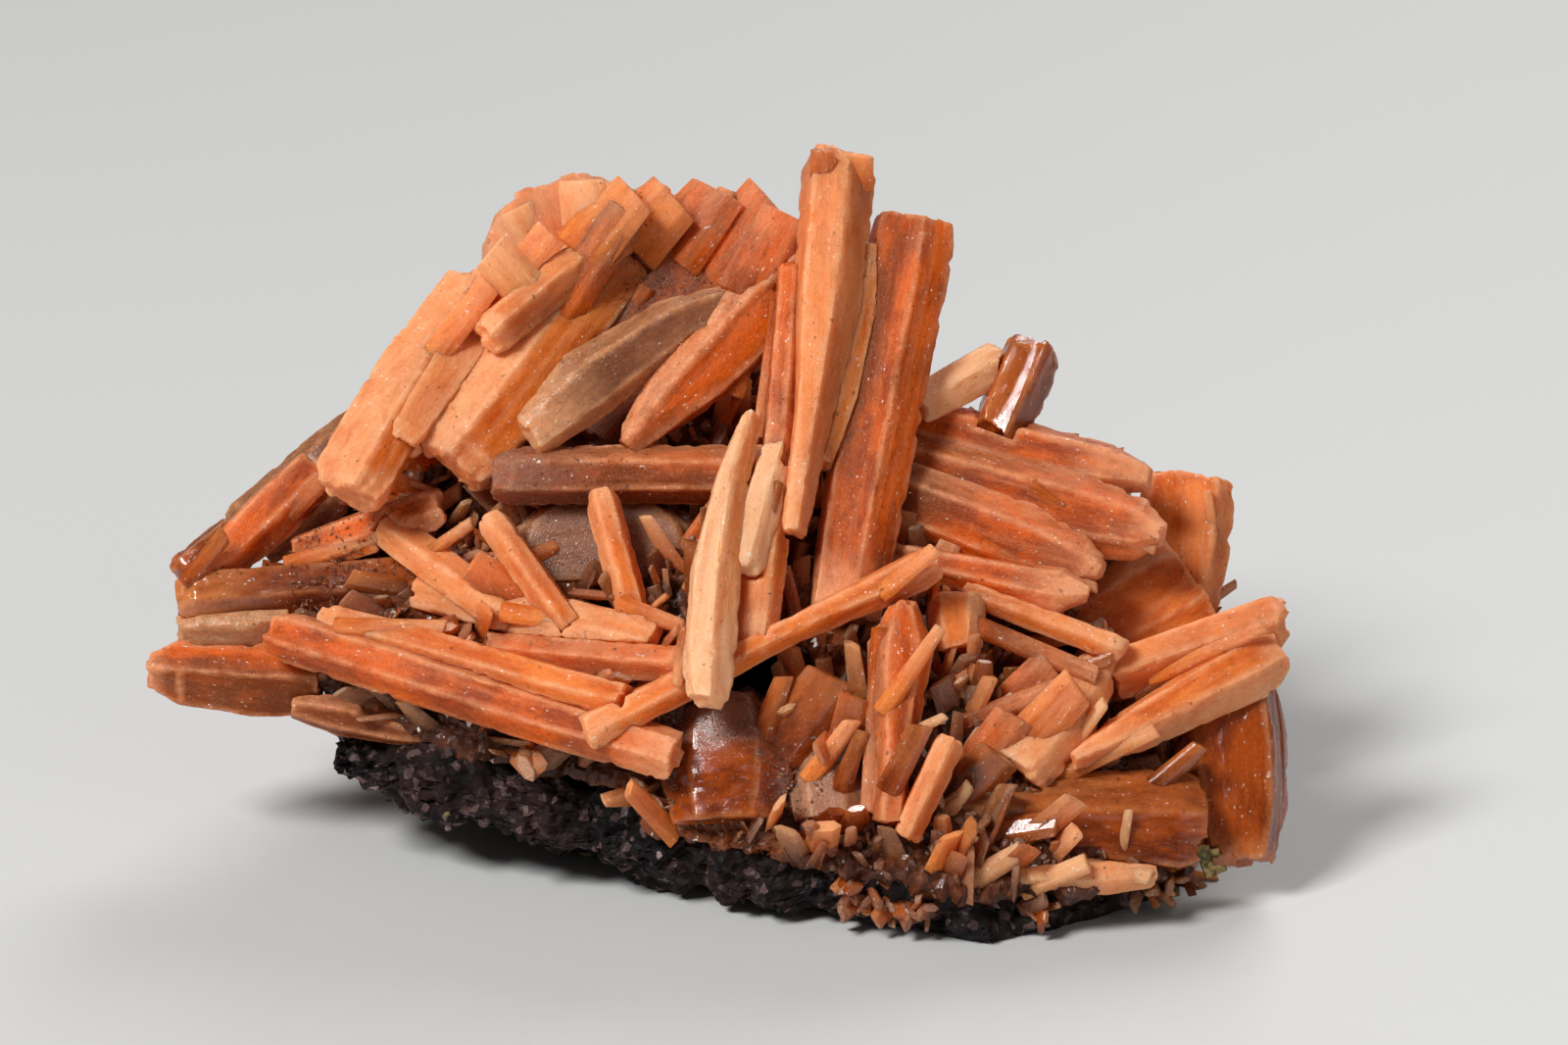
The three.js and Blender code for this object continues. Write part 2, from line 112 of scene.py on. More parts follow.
def new_material(name, settings):
    """A new material, its node tree and its shader, with the shader's plain sockets set."""
    material = bpy.data.materials.new(name)
    material.use_nodes = True
    shader = material.node_tree.nodes["Principled BSDF"]
    for socket, value in settings.items():
        shader.inputs[socket].default_value = value
    return material, material.node_tree, shader


FLOOR_SIZE = 3.0
floor_mesh = bmesh.new()
bmesh.ops.create_grid(floor_mesh, x_segments=1, y_segments=1, size=FLOOR_SIZE)
floor_data = bpy.data.meshes.new("floor")
floor_mesh.to_mesh(floor_data)
floor_mesh.free()
floor = bpy.data.objects.new("floor", floor_data)
bpy.context.scene.collection.objects.link(floor)
floor_data.materials.append(
    new_material("pale_floor", {"Base Color": (0.62, 0.62, 0.61, 1), "Roughness": 0.55})[0])


# The rock that the barite grew on: dark purple-black and granular, with a few ochre specks and
# faint painted glints, pale dots that stand for highlights. It is cut off flat underneath, and the specimen
# rests on the cut.
ROCK_GRAIN = 0.42 * MM
CUT_LEVEL = 0.05 * MM
MOST_CUTS = 8
CRISP_EDGE = math.radians(19)
# The height and the size of each kind of unevenness, in mm.
ROCK_LUMPS = ((1.20, 6.0), (0.80, 2.6), (0.40, 1.0))
ROCK_CRUMBS = (0.22, 0.7)
CUT_WAVE = (0.7, 3.0)
# Up to this height the unevenness fades out towards the cut.
CUT_FADE = 1.2 * MM


def merged_copy(name):
    """A copy of a CAD node's solid with its loose triangles merged into plain faces."""
    shape = bmesh.new()
    shape.from_mesh(frame["nodes"][name].data)
    bmesh.ops.remove_doubles(shape, verts=shape.verts[:], dist=1e-6)
    bmesh.ops.dissolve_limit(
        shape, angle_limit=0.02, verts=shape.verts[:], edges=shape.edges[:], delimit=set())
    shape.normal_update()
    return shape


def cut_small(shape, longest):
    """Cuts a shape into triangles with edges up to about that long."""
    bmesh.ops.triangulate(shape, faces=shape.faces[:])
    for _ in range(MOST_CUTS):
        long_edges = [edge for edge in shape.edges if edge.calc_length() > longest]
        bmesh.ops.subdivide_edges(shape, edges=long_edges, cuts=1)
        bmesh.ops.triangulate(shape, faces=[face for face in shape.faces if len(face.verts) > 3])
    bmesh.ops.smooth_vert(
        shape, verts=shape.verts[:], factor=0.5, use_axis_x=True, use_axis_y=True, use_axis_z=True)


def fractal(place, size):
    """Uneven noise at a place, of that size in metres, from about -1 to 1."""
    return noise.fractal(place / size, 1.0, 2.0, 3)


def crumbs(place, kind):
    """Blocky noise at a place, from its height and its size in mm."""
    height, size = kind
    return height * noise.cell(place / (size * MM))


def lumps(place, kinds):
    """Several sizes of uneven noise added up at a place, each with its height and its size in mm."""
    return sum(height * fractal(place, size * MM) for height, size in kinds)


def add_piece(name, shape, material, replaced=None, faceted=False):
    """Makes a piece of the specimen from its finished shape."""
    data = bpy.data.meshes.new(name)
    shape.to_mesh(data)
    shape.free()
    if not faceted:
        data.shade_smooth()
        data.set_sharp_from_angle(angle=CRISP_EDGE)
    data.materials.append(material)
    piece = bpy.data.objects.new(name, data)
    bpy.context.scene.collection.objects.link(piece)
    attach(piece, "root")
    if replaced:
        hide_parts(replaced)
    return piece


def connect(tree, made, links):
    """Links or sets a node's sockets, which are given by name or number."""
    for socket, value in links.items():
        if isinstance(value, bpy.types.NodeSocket):
            tree.links.new(value, made.inputs[socket])
        else:
            made.inputs[socket].default_value = value


def node(tree, kind, links=None, **values):
    """Adds a shader node. Its links hold a value or another node's socket for each of its own."""
    made = tree.nodes.new(kind)
    for name, value in values.items():
        setattr(made, name, value)
    connect(tree, made, links or {})
    return made


def grain_noise(tree, place, scale, detail=3, roughness=0.6):
    made = node(tree, "ShaderNodeTexNoise", {
        "Vector": place, "Scale": scale, "Detail": detail, "Roughness": roughness})
    return made.outputs["Fac"]


def ramp(tree, value, low, high, to_low=0.0, to_high=1.0):
    return node(tree, "ShaderNodeMapRange", {
        "Value": value, "From Min": low, "From Max": high, "To Min": to_low, "To Max": to_high,
    }).outputs["Result"]


def mix(tree, share, first, second):
    """Mixes two colours. The node's sockets for colours are known by number."""
    made = node(tree, "ShaderNodeMix", data_type="RGBA")
    connect(tree, made, {0: share, 6: first, 7: second})
    return made.outputs[2]


def math_node(tree, operation, first, second):
    made = node(tree, "ShaderNodeMath", {0: first, 1: second}, operation=operation)
    return made.outputs[0]


def grain_shades(tree, place, scale):
    """A node that gives three random numbers for each mineral grain, as Red, Green and Blue."""
    grains = node(tree, "ShaderNodeTexVoronoi", {"Vector": place, "Scale": scale})
    return node(tree, "ShaderNodeSeparateColor", {"Color": grains.outputs["Color"]})


def rock_material():
    material, tree, shader = new_material("dark_granular_rock", {"Specular IOR Level": 0.18})
    place = node(tree, "ShaderNodeTexCoord").outputs["Object"]
    patches = ramp(tree, grain_noise(tree, place, 220), 0.42, 0.6)
    colour = mix(tree, patches, (0.004, 0.0025, 0.0025, 1), (0.022, 0.010, 0.009, 1))
    shade = grain_shades(tree, place, 1900)
    pale_grains = ramp(tree, shade.outputs["Red"], 0.80, 0.95)
    # Painted glints: faint pale dots of colour that stand for highlights on the grains.
    painted_sparkles = ramp(tree, shade.outputs["Green"], 0.988, 0.992)
    ochre_specks = ramp(tree, shade.outputs["Blue"], 0.992, 0.995)
    colour = mix(tree, pale_grains, colour, (0.10, 0.058, 0.052, 1))
    colour = mix(tree, painted_sparkles, colour, (0.24, 0.17, 0.15, 1))
    colour = mix(tree, ochre_specks, colour, (0.17, 0.13, 0.05, 1))
    height = math_node(tree, "ADD", shade.outputs["Green"], grain_noise(tree, place, 2600))
    relief = node(tree, "ShaderNodeBump", {"Height": height, "Strength": 0.8, "Distance": 0.12 * MM})
    connect(tree, shader, {
        "Base Color": colour, "Roughness": ramp(tree, shade.outputs["Red"], 0, 1, 0.85, 0.35),
        "Normal": relief.outputs["Normal"]})
    return material


rock = merged_copy("matrix_rock")
cut_small(rock, ROCK_GRAIN)
rock.normal_update()
for vertex in rock.verts:
    place = vertex.co.copy()
    if place.z < CUT_LEVEL:
        side = Vector((place.x, place.y, 0)).normalized()
        vertex.co += side * lumps(place, [CUT_WAVE]) * MM
        vertex.co.z = 0
        continue
    fade = min(1, (place.z - CUT_LEVEL) / CUT_FADE)
    vertex.co += vertex.normal * (lumps(place, ROCK_LUMPS) + crumbs(place, ROCK_CRUMBS)) * fade * MM
add_piece("rock", rock, rock_material(), "matrix_rock", faceted=True)


# The bed that the crystals stand on: intergrown fine barite, pinkish-brown and glassy, rough
# with lumps. It spreads over the rock and closes the gaps at the feet of the large crystals.
BED_GRAIN = 0.48 * MM
# How far it swells past its solid, and its unevenness, as for the rock, in mm.
BED_SWELL = 0.45
BED_LUMPS = ((0.50, 3.0), (0.25, 0.9))
BED_CRUMBS = (0.30, 0.9)


def bed_material():
    material, tree, shader = new_material("fine_barite_bed", {
        "Specular IOR Level": 0.30, "Subsurface Weight": 0.35, "Subsurface Radius": (1.0, 0.4, 0.2),
        "Subsurface Scale": 1.0 * MM})
    place = node(tree, "ShaderNodeTexCoord").outputs["Object"]
    clouds = ramp(tree, grain_noise(tree, place, 110), 0.40, 0.60)
    colour = mix(tree, clouds, (0.17, 0.038, 0.008, 1), (0.050, 0.014, 0.006, 1))
    orange_spots = ramp(tree, grain_noise(tree, place, 400), 0.55, 0.70, 0, 0.6)
    colour = mix(tree, orange_spots, colour, (0.34, 0.10, 0.035, 1))
    shade = grain_shades(tree, place, 2200)
    pale_grains = ramp(tree, shade.outputs["Red"], 0.75, 0.95, 0, 0.35)
    # Painted glints: bright near-white dots of colour that stand for highlights on the glassy grains.
    painted_sparkles = ramp(tree, shade.outputs["Green"], 0.985, 0.99)
    colour = mix(tree, pale_grains, colour, (0.26, 0.095, 0.050, 1))
    colour = mix(tree, painted_sparkles, colour, (0.95, 0.85, 0.78, 1))
    height = math_node(tree, "ADD", shade.outputs["Red"], grain_noise(tree, place, 1600))
    relief = node(tree, "ShaderNodeBump", {"Height": height, "Strength": 0.7, "Distance": 0.12 * MM})
    connect(tree, shader, {
        "Base Color": colour, "Roughness": ramp(tree, shade.outputs["Blue"], 0, 1, 0.12, 0.5),
        "Normal": relief.outputs["Normal"]})
    return material


bed = merged_copy("druse_bed")
cut_small(bed, BED_GRAIN)
bed.normal_update()
for vertex in bed.verts:
    place = vertex.co.copy()
    vertex.co += vertex.normal * (BED_SWELL + lumps(place, BED_LUMPS) + crumbs(place, BED_CRUMBS)) * MM
add_piece("bed", bed, bed_material(), "druse_bed", faceted=True)


# The crystals: barite laths, blades and plates, milky and waxy, orange inside with pale frosted
# rims and ends; the pale along the rims is partly a painted edge highlight. They grew outwards
# from the bed, so each is striated and stepped along its length, is chipped at its edges and ends in a
# stepped, broken tip.
STEP_ALONG = 0.45 * MM
STEP_ACROSS = 0.16 * MM
STEP_THROUGH = 0.20 * MM
SHARP_EDGE = math.radians(18)
# Lengths in mm: how far a crystal swells past its solid, the width of its worn edges (which also
# sets its pale rims, partly a painted edge highlight), the depth and size of its chips, the stretch
# and heights of its striations, the blocks of its broken ends and their two drops, and the bend that it
# shares with its neighbours.
SWELL = 0.18
RIM_WIDTH = 0.26
CHIP_DEPTH = 0.50
CHIP_SIZE = 0.8
STREAK_STRETCH = (16.0, 1.0, 1.0)
STEP_HEIGHT = 0.06
RIPPLE = 0.03
FULL_THICKNESS = 2.4
BLOCK_SIZE = (1.15, 0.8)
BLOCK_DROP = 0.45
BLOCK_TILT = 0.35
LONGEST_END = 2.4
BEND = 0.28
BEND_SIZE = 11
# Without a seed of its own the noise for the bends would differ in each run.
noise.seed_set(5)
# What is kept at each corner, the zones that are pale on every crystal, and an empty zone. The
# pale side faces are partly painted light, paler on the left, where the light falls.
SKIN_LAYERS = ("rim", "pale", "brown", "druse")
PALE_AND_LIT_SIDES = {"left": 0.35, "right": 0.12}
BARE = {"all": 0.0}


def crystal_axes(shape):
    """The ways along a crystal, to its upper or right end, and across and out of its broad face."""
    normals = np.array([face.normal[:] for face in shape.faces])
    areas = np.array([face.calc_area() for face in shape.faces])
    along, _, out = np.linalg.eigh((normals * areas[:, None]).T @ normals)[1].T
    along, out = Vector(along), Vector(out)
    if along.dot(UP + 0.6 * RIGHT) < 0:
        along.negate()
    if out.dot(TOWARD) < 0:
        out.negate()
    return along, along.cross(out), out


def slice_shape(shape, direction, step):
    """Cuts a shape by even planes across a direction, so that its faces follow its growth."""
    places = [vertex.co.dot(direction) for vertex in shape.verts]
    for place in np.arange(min(places) + 0.5 * step, max(places), step):
        bmesh.ops.bisect_plane(
            shape, geom=shape.verts[:] + shape.edges[:] + shape.faces[:],
            plane_co=direction * float(place), plane_no=direction, dist=1e-7)


def distance_to(points, ends):
    """The distance from each point to the nearest of some straight edges."""
    start, run = ends[:, 0], ends[:, 1] - ends[:, 0]
    offset = points[:, None] - start[None]
    share = np.clip((offset * run).sum(2) / (run * run).sum(1), 0, 1)
    return np.linalg.norm(offset - share[..., None] * run, axis=2).min(1)


def smooth_step(low, high, value):
    share = np.clip((value - low) / (high - low), 0, 1)
    return share * share * (3 - 2 * share)


def noise_at(points):
    return np.array([noise.noise(point) for point in points.tolist()])


def cells_at(points):
    return np.array([noise.cell(point) for point in points.tolist()])


def grow_crystal(name, shape, finish, slot, replaced, seed, pale=None, brown=None, druse=None):
    """Gives a crystal's solid its grown surface, and keeps where its skin is pale, brown or drusy, where
    some of the pale is painted light and some of the brown painted shade.
    """
    along, across, out = crystal_axes(shape)
    edges = [edge for edge in shape.edges if edge.calc_face_angle(0) > SHARP_EDGE]
    edge_ends = np.array([[vertex.co[:] for vertex in edge.verts] for edge in edges]) / MM
    for direction, step in ((out, STEP_THROUGH), (across, STEP_ACROSS), (along, STEP_ALONG)):
        slice_shape(shape, direction, step)
    shape.verts.ensure_lookup_table()
    shape.normal_update()
    points = np.array([vertex.co[:] for vertex in shape.verts]) / MM
    normals = np.array([vertex.normal[:] for vertex in shape.verts])
    axes = np.array([along[:], across[:], out[:]])
    local = points @ axes.T
    facing = normals @ axes.T
    low, high = local.min(0), local.max(0)
    size = high - low
    share = (local - low) / size
    # Nearness to the sharp edges: it chips them, and is kept for the pale rims, partly a painted edge
    # highlight.
    rim = np.exp(-distance_to(points, edge_ends) / RIM_WIDTH)

    # Ridges and shallow steps run along the crystal. Thin crystals have finer ones.
    fine = min(1.0, size[2] / FULL_THICKNESS)
    shift = np.array([seed * 7.3, seed * 3.1, seed * 5.7])
    streaked = (local + shift) / STREAK_STRETCH
    broad = noise_at(streaked / (1.4, 1.7, 1.7)) * 3.2
    steps = np.floor(broad) + smooth_step(0.0, 0.3, broad % 1)
    ripples = noise_at(streaked * 1.6), noise_at(local * 1.7 + shift)
    relief = STEP_HEIGHT * steps + RIPPLE * ripples[0] + RIPPLE * ripples[1]
    side = 1 - smooth_step(0.5, 0.85, np.abs(facing[:, 0]))
    chips = np.clip(noise_at(points / CHIP_SIZE) - 0.12, 0, 1) * rim * CHIP_DEPTH
    moved = normals * ((SWELL + relief * side * fine) - chips * fine)[:, None]

    # The ends are broken into blocks of different heights.
    blocks = (local + shift)[:, 1:] / BLOCK_SIZE
    blocks = np.hstack([np.zeros((len(points), 1)), blocks])
    drop = BLOCK_DROP * np.abs(cells_at(blocks)) + BLOCK_TILT * np.abs(noise_at(blocks * 0.7))
    reach = min(LONGEST_END, size[0] * 0.3)
    at_high = smooth_step(1 - reach / size[0], 1, share[:, 0])
    at_low = smooth_step(reach / size[0], 0, share[:, 0])
    moved -= axes[0] * (drop * fine * (at_high - at_low))[:, None]
    points = points + moved

    # Neighbours bend together, so no gap opens between them.
    bend = np.array([noise.noise_vector(point)[:] for point in (points / BEND_SIZE).tolist()])
    base_fade = smooth_step(0.5, 6, points[:, 2])
    points += BEND * bend * base_fade[:, None]
    for vertex, place in zip(shape.verts, points * MM):
        vertex.co = place

    zones = {
        "all": np.ones(len(points)),
        "left": smooth_step(0.2, 0.5, -facing[:, 1]),
        "right": smooth_step(0.2, 0.5, facing[:, 1]),
        "left_half": smooth_step(0.6, 0.3, share[:, 1]),
        "right_half": smooth_step(0.4, 0.7, share[:, 1]),
        "high": smooth_step(0.5, 1.0, share[:, 0]),
        "low": smooth_step(0.5, 0.0, share[:, 0]),
        "high_end": smooth_step(0.8, 1.0, share[:, 0]),
        "low_end": smooth_step(0.2, 0.0, share[:, 0]),
        "middle": smooth_step(0.5, 0.15, np.abs(share[:, 0] - 0.5)),
    }

    def mask(always, wanted):
        """The strongest at each corner of the zones that are always there and those wanted."""
        strengths = {**always, **(wanted or {})}
        return np.max([zones[zone] * strength for zone, strength in strengths.items()], axis=0)

    layers = {
        "rim": rim, "pale": mask(PALE_AND_LIT_SIDES, pale), "brown": mask(BARE, brown), "druse": mask(BARE, druse)}
    piece = add_piece(name, shape, finish, replaced)
    grain = piece.data.attributes.new("grain", "FLOAT_VECTOR", "POINT")
    grain.data.foreach_set("vector", (local - low + shift).astype(np.float32).ravel())
    for layer, values in layers.items():
        kept = piece.data.attributes.new(layer, "FLOAT", "POINT")
        kept.data.foreach_set("value", values.astype(np.float32))


SKIN_INPUTS = {
    "Vector": ("Grain",), "Color": ("Core", "Deep", "Milk", "Stain_and_shade", "Crust"),
    "Float": ("Rim", "Pale", "Brown", "Druse", "Gloss", "Streaky")}
SKIN_OUTPUTS = {"Color": ("Color",), "Float": ("Roughness", "Height")}


def growth_group():
    """The colour, roughness and relief of a crystal's skin, from its grain and its coated zones."""
    tree = bpy.data.node_groups.new("barite_growth", "ShaderNodeTree")
    for way, sockets in (("INPUT", SKIN_INPUTS), ("OUTPUT", SKIN_OUTPUTS)):
        for kind, names in sockets.items():
            for name in names:
                tree.interface.new_socket(name, in_out=way, socket_type="NodeSocket" + kind)
    given = tree.nodes.new("NodeGroupInput").outputs

    def stretched(along, across):
        """The grain's place, squeezed along and across the crystal."""
        made = node(tree, "ShaderNodeMapping", {"Vector": given["Grain"], "Scale": (along, across, across)})
        return made.outputs["Vector"]

    def times(first, second):
        return math_node(tree, "MULTIPLY", first, second)

    clouds = grain_noise(tree, stretched(0.16, 0.40), 1.0, 4, 0.7)
    streaks = grain_noise(tree, stretched(0.08, 1.3), 1.0, 3, 0.6)
    threads = grain_noise(tree, stretched(0.35, 7.0), 1.0, 3, 0.7)
    frost = grain_noise(tree, stretched(0.55, 1.1), 1.0, 5, 0.65)
    grit = grain_noise(tree, stretched(9.0, 9.0), 1.0, 2, 0.6)

    # The colour inside: clouds of two depths, with pale streaks and deep threads along the crystal.
    colour = mix(tree, ramp(tree, clouds, 0.42, 0.60), given["Core"], given["Deep"])
    pale_streaks = times(ramp(tree, streaks, 0.48, 0.68, 0, 0.50), given["Streaky"])
    deep_threads = times(ramp(tree, threads, 0.58, 0.78, 0, 0.25), given["Streaky"])
    colour = mix(tree, pale_streaks, colour, given["Milk"])
    colour = mix(tree, deep_threads, colour, given["Deep"])

    def patchy(zone, spread):
        """A zone with a ragged edge."""
        return ramp(tree, times(zone, ramp(tree, spread, 0.3, 0.7, 0.55, 1.35)), 0.10, 0.95)

    # The brown stain, partly painted shade on the lower faces of some plates, the milky skin, partly
    # painted light on the sides that face the light, the milky edges, partly a painted edge highlight,
    # and the crust of fine crystals lie over that.
    colour = mix(tree, times(patchy(given["Brown"], clouds), 0.9), colour, given["Stain_and_shade"])
    colour = mix(tree, times(patchy(given["Pale"], frost), 0.95), colour, given["Milk"])
    edge = times(given["Rim"], ramp(tree, frost, 0.30, 0.65, 0.35, 1.3))
    colour = mix(tree, ramp(tree, edge, 0.22, 1.0, 0, 0.62), colour, given["Milk"])
    coat = patchy(given["Druse"], frost)
    crust = mix(tree, ramp(tree, grit, 0.40, 0.65), given["Crust"], given["Milk"])
    crust = mix(tree, 0.65, crust, given["Crust"])
    colour = mix(tree, times(coat, 0.9), colour, crust)

    # Dark specks, a fine mottle and a few painted glints: bright dots of colour that stand for highlights.
    specks = ramp(tree, grain_noise(tree, stretched(2.2, 3.0), 1.0, 1, 0.5), 0.70, 0.80, 0, 0.7)
    colour = mix(tree, specks, colour, (0.06, 0.02, 0.012, 1))
    mottle = grain_noise(tree, stretched(3.2, 4.2), 1.0, 3, 0.75)
    colour = mix(tree, ramp(tree, mottle, 0.50, 0.70, 0, 0.30), colour, given["Deep"])
    colour = mix(tree, ramp(tree, mottle, 0.48, 0.32, 0, 0.14), colour, given["Milk"])
    painted_glints = grain_shades(tree, stretched(1.0, 1.6), 7.0).outputs["Red"]
    painted_glints = times(ramp(tree, painted_glints, 0.982, 0.990), ramp(tree, frost, 0.45, 0.60))
    colour = mix(tree, times(painted_glints, 0.75), colour, (0.96, 0.84, 0.72, 1))

    rough = math_node(tree, "ADD", given["Gloss"], ramp(tree, frost, 0.3, 0.7, -0.08, 0.16))
    rough = math_node(tree, "ADD", rough, times(coat, 0.12))
    rough = math_node(tree, "SUBTRACT", rough, times(painted_glints, 0.20))
    height = math_node(tree, "ADD", times(threads, 0.22), times(frost, 0.5))
    height = math_node(tree, "ADD", height, times(grit, ramp(tree, coat, 0, 1, 0.50, 0.9)))
    made = tree.nodes.new("NodeGroupOutput")
    connect(tree, made, {"Color": colour, "Roughness": rough, "Height": height})
    return tree


BARITE_IOR = 1.636
# The brown of real stains, and also painted shade on the lower faces of the plates at the right.
BROWN_STAIN_AND_SHADE = (0.17, 0.036, 0.005)
GREY_CRUST = (0.20, 0.090, 0.070)
growth = growth_group()


def barite(name, core, deep, milk=(0.92, 0.41, 0.195), gloss=0.34, milky=0.70, clear=0.0, streaky=0.5,
           shine=0.14, uneven=0.85):
    """A barite finish: its colours, how rough it is, how milky or clear, and its uneven skin."""
    material, tree, shader = new_material(name, {
        "IOR": BARITE_IOR, "Specular IOR Level": shine, "Subsurface Weight": milky,
        "Subsurface Radius": (1.0, 0.38, 0.14), "Subsurface Scale": 2.2 * MM,
        "Transmission Weight": clear})
    shader.subsurface_method = "BURLEY"
    skin = node(tree, "ShaderNodeGroup", node_tree=growth)
    kept = node(tree, "ShaderNodeAttribute", attribute_name="grain")
    connect(tree, skin, {"Grain": kept.outputs["Vector"], "Gloss": gloss, "Streaky": streaky})
    for layer in SKIN_LAYERS:
        kept = node(tree, "ShaderNodeAttribute", attribute_name=layer)
        connect(tree, skin, {layer.capitalize(): kept.outputs["Fac"]})
    colours = {"Core": core, "Deep": deep, "Milk": milk, "Stain_and_shade": BROWN_STAIN_AND_SHADE, "Crust": GREY_CRUST}
    connect(tree, skin, {socket: (*colour, 1) for socket, colour in colours.items()})
    relief = node(tree, "ShaderNodeBump", {
        "Height": skin.outputs["Height"], "Strength": uneven, "Distance": 0.17 * MM})
    connect(tree, shader, {
        "Base Color": skin.outputs["Color"], "Roughness": skin.outputs["Roughness"],
        "Normal": relief.outputs["Normal"]})
    return material


FINISHES = {
    "peach": barite("peach_barite", (0.84, 0.200, 0.028), (0.60, 0.095, 0.005)),
    "orange": barite(
        "orange_barite", (0.70, 0.105, 0.003), (0.32, 0.042, 0.001), milk=(0.86, 0.34, 0.155), gloss=0.28),
    "smoky": barite(
        "smoky_barite", (0.38, 0.130, 0.052), (0.22, 0.064, 0.022), milk=(0.84, 0.38, 0.17),
        gloss=0.22, milky=0.6, clear=0.20, streaky=0.1, shine=0.25, uneven=0.6),
    "red": barite(
        "red_barite", (0.46, 0.075, 0.006), (0.17, 0.022, 0.002), milk=(0.76, 0.24, 0.07),
        gloss=0.06, milky=0.50, clear=0.25, streaky=0.0, shine=0.45, uneven=0.22),
    "pale": barite(
        "pale_barite", (0.88, 0.37, 0.15), (0.78, 0.23, 0.06), milk=(0.92, 0.50, 0.27), gloss=0.26),
    "druse": barite(
        "drusy_barite", (0.28, 0.075, 0.028), (0.11, 0.026, 0.010), milk=(0.56, 0.24, 0.12),
        gloss=0.20, shine=0.30),
}


def grow_group(looks):
    """Grows the CAD crystals of a group, each with its finish and its pale, brown and drusy zones, some of
    them painted light and painted shade.
    """
    for name, look in looks.items():
        finish = look.pop("finish")
        grow_crystal(f"{name}_crystal", merged_copy(name), FINISHES[finish], finish, name,
                     seed=len(bpy.data.objects), **look)


# The tall group in the middle: a broken prism and a long plate that stand upright, with
# splinters at the prism's sides and a cream blade that hangs down in front.
grow_group({
    "tall_prism": {"finish": "peach", "pale": {"all": 0.4, "low": 0.8}, "brown": {"high_end": 0.6}},
    "tall_plate": {"finish": "orange", "pale": {"low_end": 1.0}, "brown": {"left_half": 0.6}},
    "front_blade": {"finish": "pale", "pale": {"low": 0.9, "left_half": 0.9}},
    "prism_right_splinter": {"finish": "peach", "pale": {"high": 0.6}},
    "prism_left_splinter": {"finish": "orange", "pale": {"low": 0.5}},
    "glinting_lath": {"finish": "pale", "pale": {"all": 0.7}},
    "prism_foot_lath": {"finish": "peach", "pale": {"low": 0.8}},
})

# The fan at the upper left: thick laths that lean against each other, with broad plates behind
# them. Their near sides, which face the light, are painted paler as painted light, and their lower ends
# are coated with fine grey crystals.
grow_group({
    "fan_outer_lath": {"finish": "peach", "pale": {"left": 0.7, "low_end": 0.8}},
    "fan_upper_lath": {"finish": "peach", "pale": {"all": 0.35, "low_end": 0.8}},
    "fan_third_lath": {
        "finish": "peach", "pale": {"left": 0.8, "low_end": 0.4}, "druse": {"low_end": 0.3, "right": 0.7}},
    "fan_second_lath": {"finish": "peach", "pale": {"all": 0.45}},
    "fan_back_plate": {"finish": "peach", "pale": {"left_half": 0.8, "high": 0.6}, "druse": {"all": 0.35}},
    "fan_inner_plate": {
        "finish": "orange", "pale": {"high_end": 0.5}, "druse": {"low": 1.0, "middle": 0.8}},
    "fan_right_plate": {"finish": "orange", "pale": {"high_end": 0.8}},
})

# The plates inside the fan: a smoky translucent blade and an orange one, a shelf that lies
# across under them, an arched plate below it, and two needles that lean over its edge.
grow_group({
    "smoky_blade": {"finish": "smoky", "pale": {"low": 0.9}},
    "orange_blade": {"finish": "orange", "pale": {"left": 0.7, "high_end": 0.3}, "brown": {"low": 0.5}},
    "shelf_plate": {"finish": "orange", "brown": {"all": 0.7}, "druse": {"low": 0.9}},
    "arched_plate": {"finish": "smoky", "pale": {"high_end": 0.9}, "druse": {"all": 0.4}},
    "left_needle": {"finish": "peach", "pale": {"high": 0.8}},
    "right_needle": {"finish": "peach", "pale": {"high": 0.6, "left": 0.5}},
})

# The laths that lie along the front at the left, one over another, orange in the middle and
# milky towards their ends.
grow_group({
    "long_front_lath": {"finish": "orange", "pale": {"left": 0.6, "high_end": 0.8}},
    "front_upper_lath": {"finish": "peach", "pale": {"low": 0.6}},
    "slanting_front_lath": {"finish": "peach", "pale": {"low_end": 0.6, "high_end": 0.4}},
    "flat_orange_lath": {"finish": "orange", "pale": {"high_end": 0.5}},
    "flat_front_plate": {"finish": "peach", "pale": {"all": 0.55}},
    "flat_left_plate": {"finish": "peach", "pale": {"all": 0.4}},
})

# The left end: an olive-brown plate with an orange tongue in front, a broken crystal that
# glitters, and two dull translucent lobes that overhang the rock.
grow_group({
    "left_orange_tongue": {"finish": "orange", "pale": {"low": 0.6}},
    "left_brown_plate": {"finish": "smoky", "brown": {"all": 0.7}},
    "left_red_end": {"finish": "red"},
    "left_inner_blade": {"finish": "orange", "pale": {"high_end": 0.6}},
    "left_broken_crystal": {"finish": "red", "pale": {"low": 0.9}, "druse": {"middle": 0.4}},
    "left_upper_lobe": {"finish": "smoky", "pale": {"all": 0.6}},
    "left_tip_crystal": {
        "finish": "orange", "pale": {"low_end": 0.5}, "brown": {"high": 1.0, "right_half": 1.0}},
    "underside_blade": {"finish": "orange", "brown": {"all": 1.0}},
})

